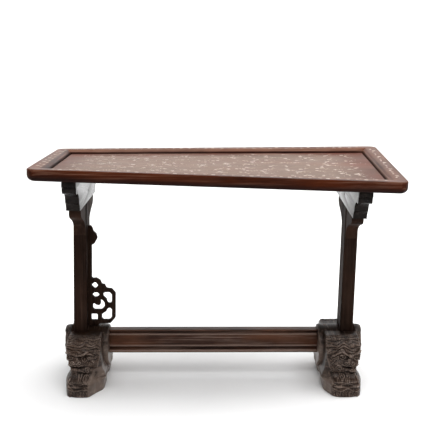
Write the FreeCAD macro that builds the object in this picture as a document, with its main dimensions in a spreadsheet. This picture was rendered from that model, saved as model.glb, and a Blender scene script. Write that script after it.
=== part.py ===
import FreeCAD, Part
import Sketcher
import math
import os

# Low trestle table: inlaid tray top on two bearers, posts and carved drum feet.
# Millimetres, +Z up, front towards -Y, origin on the floor under the middle of the top.

V = FreeCAD.Vector
doc = FreeCAD.newDocument("low_table")
sheet = doc.addObject("Spreadsheet::Sheet", "Sizes")


# A driving dimension: its number, and the same thing as sheet text for expressions
class Size:
    def __init__(self, value, text):
        self.value = float(value)
        self.text = text

    def join(self, other, sign, value):
        return Size(value, "(%s %s %s)" % (self.text, sign, other.text))

    def __add__(self, other):
        other = as_size(other)
        return self.join(other, "+", self.value + other.value)

    def __sub__(self, other):
        other = as_size(other)
        return self.join(other, "-", self.value - other.value)

    def __mul__(self, other):
        other = as_size(other)
        return self.join(other, "*", self.value * other.value)

    def __truediv__(self, other):
        other = as_size(other)
        return self.join(other, "/", self.value / other.value)

    def __radd__(self, other):
        return as_size(other) + self

    def __rsub__(self, other):
        return as_size(other) - self

    def __rmul__(self, other):
        return as_size(other) * self

    def __neg__(self):
        return Size(-self.value, "(0 - %s)" % self.text)


def as_size(value):
    if isinstance(value, Size):
        return value
    return Size(value, "(%.6f)" % value)


def size(alias, value, note):
    size.row += 1
    sheet.set("A%d" % size.row, note)
    sheet.set("B%d" % size.row, "%g" % value)
    sheet.setAlias("B%d" % size.row, alias)
    return Size(value, "Sizes.%s" % alias)


size.row = 0

# Driving dimensions: the top
top_width = size("top_width", 840, "top, left to right")
top_depth = size("top_depth", 486, "top, front to back")
table_height = size("table_height", 548, "floor to the rim")
rail_width = size("rail_width", 38, "width of each frame rail")
corner_round = size("corner_round", 22, "corner radius of the frame in plan")
edge_round = size("edge_round", 14, "radius under the frame's outer edge")
lip_bevel = size("lip_bevel", 1.5, "worn bevel on the rim")
recess = size("recess", 11, "rim above the panel")
panel_thick = size("panel_thick", 8, "thickness of the panel's field")
under_lip = size("under_lip", 5, "rail below the panel")
tongue_thick = size("tongue_thick", 5, "thickness of the panel's edge tongue")
groove_deep = size("groove_deep", 8, "depth of the panel groove in the rails")
float_gap = size("float_gap", 0.3, "room for the panel to move in its groove")
mitre_tenon = size("mitre_tenon", 7, "thickness of the mitre tenons")
mitre_inset = size("mitre_inset", 14, "frame edge to the side of a mitre tenon")
mitre_wall = size("mitre_wall", 6, "frame edge to the tip of a mitre tenon")
groove_wall = size("groove_wall", 4, "wood between a mitre tenon and the panel groove")
shell_thick = size("shell_thick", 1, "thickness of the shell inlay")
leaf_length = size("leaf_length", 16, "length of a shell leaf")
leaf_width = size("leaf_width", 6, "width of a shell leaf")
blossom_radius = size("blossom_radius", 12.5, "radius of a shell blossom")

# Driving dimensions: bearers, brackets and posts
post_inset = size("post_inset", 92, "end of the top to the middle of a post")
post_width = size("post_width", 32, "post and bearer, left to right")
post_depth = size("post_depth", 64, "post, front to back")
post_bead = size("post_bead", 5, "width of the beads on a post's edges")
post_flare = size("post_flare", 7, "flare of a post's outer side at the foot")
flare_height = size("flare_height", 44, "height of that flare")
bearer_inset = size("bearer_inset", 17, "front of the top to the end of a bearer")
bearer_height = size("bearer_height", 80, "height of a bearer under the frame")
dovetail_wide = size("dovetail_wide", 14, "sliding dovetail at its neck")
dovetail_deep = size("dovetail_deep", 3, "sliding dovetail into the panel")
dovetail_flare = size("dovetail_flare", 2, "spread of a dovetail on each side")
batten_height = size("batten_height", 10, "height of the middle batten")
batten_width = size("batten_width", 24, "width of the middle batten")
batten_lug = size("batten_lug", 12, "batten ends let into the rails")
stub_side = size("stub_side", 10, "stub tenons from bearer to frame, square")
stub_tall = size("stub_tall", 7, "height of the stub tenons")
tenon_thick = size("tenon_thick", 16, "post tenons, left to right")
tenon_depth = size("tenon_depth", 40, "post tenons, front to back")
head_tenon = size("head_tenon", 52, "post tenon into the bearer")
foot_tenon = size("foot_tenon", 68, "post tenon into the foot")
bracket_thick = size("bracket_thick", 28, "head bracket, left to right")
bracket_reach = size("bracket_reach", 72, "head bracket out from the post")
bracket_drop = size("bracket_drop", 78, "head bracket down from the bearer")
tongue_reach = size("tongue_reach", 6, "stub tongues into the posts")
tongue_tall = size("tongue_tall", 40, "height of the brackets' tongues")
tongue_wide = size("tongue_wide", 10, "thickness of the brackets' tongues")
peg_side = size("peg_side", 7, "side of the square joint pegs")
peg_rise = size("peg_rise", 26, "bearer pegs above the bearer's underside")
peg_proud = size("peg_proud", 4, "foot pegs proud of the drum")
stretcher_peg = size("stretcher_peg", 62, "length of the stretcher pegs")
peg_inset = size("peg_inset", 18, "drum's inner side to a stretcher peg")

# Driving dimensions: feet, stretcher and spandrel
foot_shift = size("foot_shift", 15, "post out from the middle of its foot")
foot_length = size("foot_length", 300, "foot, front to back")
plinth_width = size("plinth_width", 82, "foot plinth, left to right")
plinth_height = size("plinth_height", 34, "height of the foot plinth")
paw_height = size("paw_height", 26, "height of the carved paw")
block_width = size("block_width", 78, "carved block at the plinth, left to right")
drum_width = size("drum_width", 108, "drum, left to right")
drum_radius = size("drum_radius", 52, "radius of the drum")
drum_sink = size("drum_sink", 4, "drum sunk into the plinth")
seat_sink = size("seat_sink", 8, "post let into the top of the drum")
stretcher_drop = size("stretcher_drop", 17, "stretcher's underside below the drum's axis")
stretcher_height = size("stretcher_height", 60, "height of the stretcher")
stretcher_thick = size("stretcher_thick", 26, "thickness of the stretcher")
stretcher_tenon = size("stretcher_tenon", 12, "thickness of the stretcher tenons")
tenon_shoulder = size("tenon_shoulder", 10, "stretcher above and below its tenons")
tenon_length = size("tenon_length", 40, "length of the stretcher tenons")
spandrel_thick = size("spandrel_thick", 12, "thickness of the spandrel")
spandrel_gap = size("spandrel_gap", 58, "top of the spandrel to the bearer")
cloud_reach = size("cloud_reach", 68, "spandrel's cloud out from the post")
doc.recompute()

# Heights and places that follow from the driving dimensions
half_width = top_width / 2
half_depth = top_depth / 2
inner_half = half_depth - rail_width
frame_thick = recess + panel_thick + under_lip
frame_low = table_height - frame_thick
panel_top = table_height - recess
panel_low = panel_top - panel_thick
stub_line = half_depth - (edge_round + rail_width) / 2
post_offset = half_width - post_inset
bearer_half = half_depth - bearer_inset
bearer_low = frame_low - bearer_height
drum_height = plinth_height + drum_radius - drum_sink
drum_top = drum_height + drum_radius
seat_height = drum_top - seat_sink
foot_offset = post_offset - foot_shift
foot_peg = drum_width / 2 + peg_proud - foot_shift + tenon_thick
stretcher_low = drum_height - stretcher_drop
stretcher_high = stretcher_low + stretcher_height
stretcher_peg_at = drum_width / 2 - peg_inset
spandrel_top = bearer_low - spandrel_gap
bead_deep = post_bead * 0.32


# Bind a property to its sheet expression
def bind(item, path, amount):
    amount = as_size(amount)
    item.setExpression(path, amount.text)


def new_body(name):
    body = doc.addObject("PartDesign::Body", name)
    body.Label = name
    return body


def new_sketch(body, name, role, lift=0):
    sketch = body.newObject("Sketcher::SketchObject", name)
    planes = [item for item in body.Origin.OriginFeatures if item.Role == role]
    sketch.AttachmentSupport = (planes[0], [""])
    sketch.MapMode = "FlatFace"
    lift = as_size(lift)
    sketch.AttachmentOffset = FreeCAD.Placement(V(0, 0, lift.value), FreeCAD.Rotation())
    sketch.setExpression("AttachmentOffset.Base.z", lift.text)
    return sketch


# Hold one sketch point at a place given by two sizes
def hold(sketch, edge, end, across, up):
    for kind, axis, amount in (("DistanceX", -2, across), ("DistanceY", -1, up)):
        amount = as_size(amount)
        if abs(amount.value) < 1e-9:
            sketch.addConstraint(Sketcher.Constraint("PointOnObject", edge, end, axis))
            continue
        rule = Sketcher.Constraint(kind, -1, 1, edge, end, amount.value)
        index = sketch.addConstraint(rule)
        sketch.setExpression("Constraints[%d]" % index, amount.text)


# A closed outline; a step of four numbers is an arc through its first pair to its second
def outline(sketch, steps):
    ends = [(as_size(step[-2]), as_size(step[-1])) for step in steps]
    count = len(steps)
    first = sketch.GeometryCount
    for index, step in enumerate(steps):
        start = V(ends[index - 1][0].value, ends[index - 1][1].value, 0)
        finish = V(ends[index][0].value, ends[index][1].value, 0)
        if len(step) == 4:
            middle = V(as_size(step[0]).value, as_size(step[1]).value, 0)
            sketch.addGeometry(Part.Arc(start, middle, finish), False)
        else:
            sketch.addGeometry(Part.LineSegment(start, finish), False)
    tails = []
    for index in range(count):
        finish = V(ends[index][0].value, ends[index][1].value, 0)
        near = sketch.getPoint(first + index, 2).distanceToPoint(finish)
        tails.append(2 if near < 1e-6 else 1)
    for index in range(count):
        after = (index + 1) % count
        joint = (first + index, tails[index], first + after, 3 - tails[after])
        sketch.addConstraint(Sketcher.Constraint("Coincident", *joint))
        hold(sketch, first + index, tails[index], ends[index][0], ends[index][1])


# A side view that is the same front and back, from its points on the positive side going up
def two_ended(sketch, half):
    steps = list(half)
    for index in range(len(half) - 1, -1, -1):
        far = (-half[index][-2], half[index][-1])
        if index + 1 < len(half) and len(half[index + 1]) == 4:
            far = (-half[index + 1][0], half[index + 1][1]) + far
        steps.append(far)
    outline(sketch, steps)


def rectangle(sketch, left, right, low, high):
    outline(sketch, [(right, low), (right, high), (left, high), (left, low)])


def square(sketch, across, up, side):
    across = as_size(across)
    up = as_size(up)
    rectangle(sketch, across - side / 2, across + side / 2, up - side / 2, up + side / 2)


def circle(sketch, across, up, radius):
    radius = as_size(radius)
    middle = V(as_size(across).value, as_size(up).value, 0)
    edge = sketch.addGeometry(Part.Circle(middle, V(0, 0, 1), radius.value), False)
    index = sketch.addConstraint(Sketcher.Constraint("Radius", edge, radius.value))
    sketch.setExpression("Constraints[%d]" % index, radius.text)
    hold(sketch, edge, 3, across, up)


# Free ornament: a closed run of points with every corner rounded, or cut straight
def rounded(sketch, points, radius, straight=False):
    spots = [V(as_size(point[0]).value, as_size(point[1]).value, 0) for point in points]
    radius = as_size(radius).value
    count = len(spots)
    cuts = []
    for index in range(count):
        here = spots[index]
        back = spots[index - 1] - here
        ahead = spots[(index + 1) % count] - here
        turn = back.getAngle(ahead)
        reach = min(radius / math.tan(turn / 2), 0.46 * back.Length, 0.46 * ahead.Length)
        bow = reach * math.tan(turn / 2)
        back.normalize()
        ahead.normalize()
        middle = back + ahead
        middle.normalize()
        depth = math.hypot(reach, bow) - bow
        cuts.append((here + back * reach, here + middle * depth, here + ahead * reach))
    for index in range(count):
        start, middle, finish = cuts[index]
        if straight:
            sketch.addGeometry(Part.LineSegment(start, finish), False)
        else:
            sketch.addGeometry(Part.Arc(start, middle, finish), False)
        sketch.addGeometry(Part.LineSegment(finish, cuts[(index + 1) % count][0]), False)


def solid(body, kind, name, sketch, length, both=False, flip=False):
    feature = body.newObject("PartDesign::" + kind, name)
    feature.Profile = sketch
    feature.Type = "Length"
    feature.SideType = "Symmetric" if both else "One side"
    feature.Reversed = flip
    length = as_size(length)
    feature.Length = length.value
    bind(feature, "Length", length)
    sketch.Visibility = False
    doc.recompute()
    return feature


def pad(body, name, sketch, length, both=False, flip=False):
    return solid(body, "Pad", name, sketch, length, both, flip)


def pocket(body, name, sketch, length, both=False, flip=False):
    before = body.Shape.Volume
    feature = solid(body, "Pocket", name, sketch, length, both, flip)
    if not body.Shape.Volume < before - 1:
        raise ValueError("pocket %s took nothing away" % name)
    return feature


# Round or bevel the edges that a test picks out
def soften(body, kind, name, amount, wanted):
    base = body.Tip
    names = []
    for number, edge in enumerate(base.Shape.Edges, 1):
        if wanted(edge.CenterOfMass, edge):
            names.append("Edge%d" % number)
    feature = body.newObject("PartDesign::" + kind, name)
    feature.Base = (base, names)
    measure = "Radius" if kind == "Fillet" else "Size"
    setattr(feature, measure, as_size(amount).value)
    bind(feature, measure, amount)
    doc.recompute()
    return feature


def fillet(body, name, radius, wanted):
    return soften(body, "Fillet", name, radius, wanted)


def chamfer(body, name, width, wanted):
    return soften(body, "Chamfer", name, width, wanted)


def near(one, other):
    return abs(one - as_size(other).value) < 0.01


# Left parts stand as drawn; a right post is the same part turned half round
def stand(body, side, offset):
    turn = 0 if side < 0 else 180
    place = as_size(offset) * side
    body.Placement = FreeCAD.Placement(V(place.value, 0, 0), FreeCAD.Rotation(V(0, 0, 1), turn))
    bind(body, "Placement.Base.x", place)


# The opposite twin of a part, across the middle of the table
def twin(part, name, normal):
    copy = doc.addObject("Part::Mirroring", name)
    copy.Source = part
    copy.Normal = normal
    copy.Base = V(0, 0, 0)
    copy.Label = name
    doc.recompute()
    return copy


# Shell inlay: the straight sides of one chip
def polygon(corners):
    spots = [V(across, up, 0) for across, up in corners]
    return [Part.LineSegment(one, two) for one, two in zip(spots, spots[1:] + spots[:1])]


def around(middle, angle, reach):
    turn = math.radians(angle)
    return (middle[0] + reach * math.cos(turn), middle[1] + reach * math.sin(turn))


def leaf(middle, angle, share=1.0):
    along = leaf_length.value * share / 2
    side = leaf_width.value * share / 2
    return polygon([around(middle, angle + 90 * step, (along, side)[step % 2]) for step in range(4)])


def blossom(middle, angle):
    reach = blossom_radius.value
    return polygon([around(middle, angle + 36 * step, reach * (1, 0.62)[step % 2]) for step in range(10)])


# Shell inlay: a five-petalled blossom with a bent, leafy twig
def spray(middle, angle):
    lines = blossom(middle, angle)
    twig = angle + 36
    pitch = leaf_length.value * 0.68
    for step in range(5):
        along = blossom_radius.value + pitch * (step + 0.9)
        side = (1, -1)[step % 2] * leaf_width.value
        spot = around(around(middle, twig, along), twig + 90, 0.004 * along * along + side)
        lines += leaf(spot, twig + 38 * (1, -1)[step % 2] + 0.5 * along, 1.1 - 0.07 * step)
    return lines


# Two rows of sprays, spaced over the panel
def panel_chips():
    reach_x = half_width.value - rail_width.value
    reach_y = inner_half.value
    lines = []
    for column in range(4):
        even = column % 2
        share = column / 1.5 - 1
        lines += spray((share * (reach_x - 77), reach_y - 93 - 26 * even), 200 + 47 * column)
        lines += spray((share * (reach_x - 120), 87 - reach_y + 30 * even), 20 + 61 * column)
    return lines


# Leaves in pairs along one rail; flip gives the opposite rail
def rail_chips(reach, line, upright, flip):
    pitch = 6 * leaf_length.value
    count = int(2 * reach / pitch)
    lines = []
    for index in range(count):
        along = -reach + (index + 0.5) * 2 * reach / count
        sway = leaf_width.value * (0.65, -0.65)[index % 2]
        for way in (-1, 1):
            spot = (along + 0.75 * way * leaf_length.value, (line - sway * way) * flip)
            angle = -28 * way * flip
            if upright:
                spot = (spot[1], spot[0])
                angle = 90 - angle
            lines += leaf(spot, angle)
    return lines


def long_chips(flip):
    reach = half_width.value - rail_width.value - leaf_length.value
    return rail_chips(reach, rail_width.value / 2 - half_depth.value, False, flip)


def short_chips(flip):
    reach = inner_half.value - leaf_length.value
    return rail_chips(reach, rail_width.value / 2 - half_width.value, True, flip)


def rim_chips():
    return long_chips(1) + long_chips(-1) + short_chips(1) + short_chips(-1)


# Mitre tenon in plan, shared by the tenon and its mortise
def tenon_plan(sketch, ways):
    for way_x, way_y in ways:
        tip = (half_width - mitre_wall) * way_x
        root = (half_width - rail_width + groove_deep) * way_x
        near_side = (half_depth - mitre_inset) * way_y
        far_side = (half_depth - rail_width + groove_deep + groove_wall) * way_y
        outline(sketch, [(root, near_side), (root, far_side), (tip, far_side), (tip, near_side)])


# Long frame rail, drawn as the front one
def long_rail(name):
    body = new_body(name)
    cut = corner_round * (1 - math.sqrt(0.5))
    soft = corner_round * (1 - math.cos(math.pi / 8))
    hard = corner_round * (1 - math.sin(math.pi / 8))
    plan = new_sketch(body, name + "_plan", "XY_Plane", frame_low)
    outline(plan, [
        (half_width - rail_width, rail_width - half_depth),
        (rail_width - half_width, rail_width - half_depth),
        (cut - half_width, cut - half_depth),
        (hard - half_width, soft - half_depth, corner_round - half_width, -half_depth),
        (half_width - corner_round, -half_depth),
        (half_width - hard, soft - half_depth, half_width - cut, cut - half_depth),
    ])
    pad(body, name + "_blank", plan, frame_thick)
    low, high, front = frame_low.value, table_height.value, -half_depth.value
    fillet(body, name + "_ovolo", edge_round,
           lambda c, e: near(c.z, low) and c.y < front + 4)
    chamfer(body, name + "_lip", lip_bevel,
            lambda c, e: near(c.z, high) and (c.y < front + 4 or near(c.y, front + rail_width.value)))
    slot = new_sketch(body, name + "_slot", "YZ_Plane")
    rectangle(slot, rail_width - groove_deep - half_depth, rail_width + 1 - half_depth,
              panel_top - tongue_thick, panel_top)
    pocket(body, name + "_groove", slot, top_width, both=True)
    tongues = new_sketch(body, name + "_tongues", "XY_Plane", frame_low + (frame_thick - mitre_tenon) / 2)
    tenon_plan(tongues, ((-1, -1), (1, -1)))
    pad(body, name + "_tenons", tongues, mitre_tenon)
    notch = new_sketch(body, name + "_notch", "XY_Plane", frame_low)
    rectangle(notch, -batten_width / 2, batten_width / 2,
              rail_width - batten_lug - half_depth, rail_width + 1 - half_depth)
    pocket(body, name + "_batten_seat", notch, panel_low - frame_low, flip=True)
    stubs = new_sketch(body, name + "_stubs", "XY_Plane", frame_low)
    for way in (-1, 1):
        rectangle(stubs, post_offset * way - stub_side / 2, post_offset * way + stub_side / 2,
                  -stub_line - stub_side / 2, stub_side / 2 - stub_line)
    pocket(body, name + "_stub_holes", stubs, stub_tall, flip=True)
    shell = new_sketch(body, name + "_shell", "XY_Plane", table_height)
    shell.addGeometry(long_chips(1), False)
    pocket(body, name + "_shell_seats", shell, shell_thick)
    return body


# Short frame rail, drawn as the left one
def short_rail(name):
    body = new_body(name)
    cut = corner_round * (1 - math.sqrt(0.5))
    soft = corner_round * (1 - math.cos(math.pi / 8))
    hard = corner_round * (1 - math.sin(math.pi / 8))
    plan = new_sketch(body, name + "_plan", "XY_Plane", frame_low)
    outline(plan, [
        (rail_width - half_width, rail_width - half_depth),
        (rail_width - half_width, half_depth - rail_width),
        (cut - half_width, half_depth - cut),
        (soft - half_width, half_depth - hard, -half_width, half_depth - corner_round),
        (-half_width, corner_round - half_depth),
        (soft - half_width, hard - half_depth, cut - half_width, cut - half_depth),
    ])
    pad(body, name + "_blank", plan, frame_thick)
    low, high, outer = frame_low.value, table_height.value, -half_width.value
    fillet(body, name + "_ovolo", edge_round,
           lambda c, e: near(c.z, low) and c.x < outer + 4)
    chamfer(body, name + "_lip", lip_bevel,
            lambda c, e: near(c.z, high) and (c.x < outer + 4 or near(c.x, outer + rail_width.value)))
    slot = new_sketch(body, name + "_slot", "XZ_Plane")
    rectangle(slot, rail_width - groove_deep - half_width, rail_width + 1 - half_width,
              panel_top - tongue_thick, panel_top)
    pocket(body, name + "_groove", slot, top_depth, both=True)
    mortises = new_sketch(body, name + "_mortises", "XY_Plane", frame_low + (frame_thick - mitre_tenon) / 2)
    tenon_plan(mortises, ((-1, -1), (-1, 1)))
    pocket(body, name + "_tenon_holes", mortises, mitre_tenon, flip=True)
    shell = new_sketch(body, name + "_shell", "XY_Plane", table_height)
    shell.addGeometry(short_chips(1), False)
    pocket(body, name + "_shell_seats", shell, shell_thick)
    return body


# Sliding dovetail section, shared by the bearers, the batten and the panel
def dovetail(sketch, middle):
    neck = dovetail_wide / 2
    flare = neck + dovetail_flare
    outline(sketch, [
        (middle + neck, panel_low - 0.5),
        (middle + neck, panel_low),
        (middle + flare, panel_low + dovetail_deep),
        (middle - flare, panel_low + dovetail_deep),
        (middle - neck, panel_low),
        (middle - neck, panel_low - 0.5),
    ])


def top_panel():
    body = new_body("top_panel")
    reach_x = half_width - rail_width + groove_deep - float_gap
    reach_y = half_depth - rail_width + groove_deep - float_gap
    sheet_plan = new_sketch(body, "panel_sheet", "XY_Plane", panel_top - tongue_thick)
    rectangle(sheet_plan, -reach_x, reach_x, -reach_y, reach_y)
    pad(body, "panel_tongue", sheet_plan, tongue_thick)
    field_x = half_width - rail_width - float_gap
    field_y = half_depth - rail_width - float_gap
    field = new_sketch(body, "panel_under", "XY_Plane", panel_low)
    rectangle(field, -field_x, field_x, -field_y, field_y)
    pad(body, "panel_field", field, panel_thick - tongue_thick + 1)
    slots = new_sketch(body, "panel_slots", "XZ_Plane")
    for way in (-1, 0, 1):
        dovetail(slots, post_offset * way)
    pocket(body, "panel_dovetails", slots, top_depth, both=True)
    shell = new_sketch(body, "panel_shell", "XY_Plane", panel_top)
    shell.addGeometry(panel_chips(), False)
    pocket(body, "panel_shell_seats", shell, shell_thick)
    return body


def panel_batten():
    body = new_body("panel_batten")
    bar = new_sketch(body, "batten_bar", "XY_Plane", panel_low - batten_height)
    rectangle(bar, -batten_width / 2, batten_width / 2,
              batten_lug * 2 - inner_half, inner_half - batten_lug * 2)
    pad(body, "batten_blank", bar, batten_height)
    lugs = new_sketch(body, "batten_lugs", "XY_Plane", frame_low)
    rectangle(lugs, -batten_width / 2, batten_width / 2, -inner_half - batten_lug, inner_half + batten_lug)
    pad(body, "batten_ends", lugs, panel_low - frame_low)
    key = new_sketch(body, "batten_key", "XZ_Plane")
    dovetail(key, as_size(0))
    pad(body, "batten_dovetail", key, (inner_half - float_gap) * 2, both=True)
    return body


# Bearer: a plank across the underside whose ends step out in two moulded tiers
def bearer(name):
    body = new_body(name)
    unit = bearer_height / 80
    half = [
        (inner_half, panel_low),
        (inner_half, frame_low),
        (bearer_half, frame_low),
        (bearer_half, frame_low - unit * 15),
        (bearer_half - unit * 6, frame_low - unit * 18),
        (bearer_half - unit * 9, frame_low - unit * 29, bearer_half - unit * 22, frame_low - unit * 33),
        (bearer_half - unit * 24, frame_low - unit * 20),
        (bearer_half - unit * 30, frame_low - unit * 34),
        (bearer_half - unit * 50, frame_low - unit * 42, bearer_half - unit * 60, frame_low - unit * 60),
        (bearer_half - unit * 64, frame_low - unit * 62),
        (bearer_half - unit * 70, frame_low - unit * 70, bearer_half - unit * 72, bearer_low),
    ]
    side_view = new_sketch(body, name + "_side", "YZ_Plane")
    two_ended(side_view, half)
    pad(body, name + "_plank", side_view, post_width, both=True)
    key = new_sketch(body, name + "_key", "XZ_Plane")
    dovetail(key, as_size(0))
    pad(body, name + "_dovetail", key, (inner_half - float_gap) * 2, both=True)
    stubs = new_sketch(body, name + "_stubs", "XY_Plane", frame_low - 1)
    for way in (-1, 1):
        rectangle(stubs, -stub_side / 2, stub_side / 2,
                  stub_line * way - stub_side / 2, stub_line * way + stub_side / 2)
    pad(body, name + "_stub_tenons", stubs, stub_tall + 1)
    mortise = new_sketch(body, name + "_mortise", "XY_Plane", bearer_low)
    rectangle(mortise, -tenon_thick / 2, tenon_thick / 2, -tenon_depth / 2, tenon_depth / 2)
    pocket(body, name + "_post_hole", mortise, head_tenon, flip=True)
    hole = new_sketch(body, name + "_hole", "YZ_Plane")
    square(hole, 0, bearer_low + peg_rise, peg_side)
    pocket(body, name + "_peg_hole", hole, post_width + 2, both=True)
    stand(body, -1, post_offset)
    return body


# Post: beaded front and back, flared at the foot, tenoned at both ends
def post(name, side, with_spandrel):
    body = new_body(name)
    wide = post_width / 2
    deep = post_depth / 2
    plan = new_sketch(body, name + "_plan", "XY_Plane", seat_height)
    steps = []
    for way in (-1, 1):
        steps += [
            (wide * way, (deep - bead_deep * 2) * way),
            ((wide - post_bead / 2) * way, deep * way, (wide - post_bead) * way, (deep - bead_deep) * way),
            (-(wide - post_bead) * way, (deep - bead_deep) * way),
            (-(wide - post_bead / 2) * way, deep * way, -wide * way, (deep - bead_deep * 2) * way),
        ]
    outline(plan, steps)
    pad(body, name + "_shaft", plan, bearer_low - seat_height)
    flare = new_sketch(body, name + "_flare", "XZ_Plane")
    outline(flare, [
        (post_bead - wide, seat_height),
        (post_bead - wide, seat_height + flare_height),
        (-wide, seat_height + flare_height),
        (-wide - post_flare * 0.22, seat_height + flare_height * 0.4, -wide - post_flare, seat_height),
    ])
    pad(body, name + "_base", flare, post_depth - bead_deep * 4, both=True)
    ends = new_sketch(body, name + "_ends", "XY_Plane", seat_height - foot_tenon)
    rectangle(ends, -tenon_thick / 2, tenon_thick / 2, -tenon_depth / 2, tenon_depth / 2)
    pad(body, name + "_tenons", ends, bearer_low + head_tenon - seat_height + foot_tenon)
    sockets = new_sketch(body, name + "_sockets", "YZ_Plane")
    for way in (-1, 1):
        rectangle(sockets, (deep - bead_deep - tongue_reach) * way, (deep + 1) * way,
                  bearer_low - tongue_tall * 1.4, bearer_low - tongue_tall * 0.4)
    pocket(body, name + "_bracket_holes", sockets, tongue_wide, both=True)
    holes = new_sketch(body, name + "_holes", "YZ_Plane")
    square(holes, 0, bearer_low + peg_rise, peg_side)
    square(holes, 0, drum_height, peg_side)
    pocket(body, name + "_peg_holes", holes, post_width, both=True)
    if with_spandrel:
        keys = new_sketch(body, name + "_keys", "XZ_Plane")
        for level in spandrel_keys:
            rectangle(keys, wide - tongue_reach, wide + 1, level, level + tongue_tall / 2)
        pocket(body, name + "_spandrel_holes", keys, spandrel_thick / 2, both=True)
    stand(body, side, post_offset)
    return body


# Undersides of the spandrel's two tongues
spandrel_keys = (drum_top + cloud_reach * 0.9, spandrel_top - tongue_tall * 0.85)


# Head bracket: a lobe and an ogee under the bearer, tongued into the post
def bracket(name, way):
    body = new_body(name)
    unit = bracket_drop / 78
    root = post_depth / 2 - bead_deep
    tip = post_depth / 2 + bracket_reach
    low = bearer_low - bracket_drop
    lobe = bearer_low - unit * 30
    side_view = new_sketch(body, name + "_side", "YZ_Plane")
    outline(side_view, [
        (root * way, low),
        (root * way, bearer_low),
        ((tip - unit * 4) * way, bearer_low),
        (tip * way, bearer_low - unit * 14, (tip - unit * 9) * way, lobe),
        ((root + unit * 26) * way, lobe - unit * 10, (root + unit * 4) * way, low),
    ])
    pad(body, name + "_board", side_view, bracket_thick, both=True)
    tongue = new_sketch(body, name + "_tongue", "YZ_Plane")
    rectangle(tongue, (root - tongue_reach) * way, (root + 2) * way,
              bearer_low - tongue_tall * 1.4, bearer_low - tongue_tall * 0.4)
    pad(body, name + "_key", tongue, tongue_wide, both=True)
    stand(body, -1, post_offset)
    return body


# Middle of the arc that runs from a toe's corner into the straight side without a kink
def boat_bow(wide, toe, end, taper):
    radius = ((wide - toe) ** 2 + taper ** 2) / (2 * (wide - toe))
    half_turn = math.atan2(taper, radius - wide + toe) / 2
    return wide - radius * (1 - math.cos(half_turn)), end - taper + radius * math.sin(half_turn)


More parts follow.
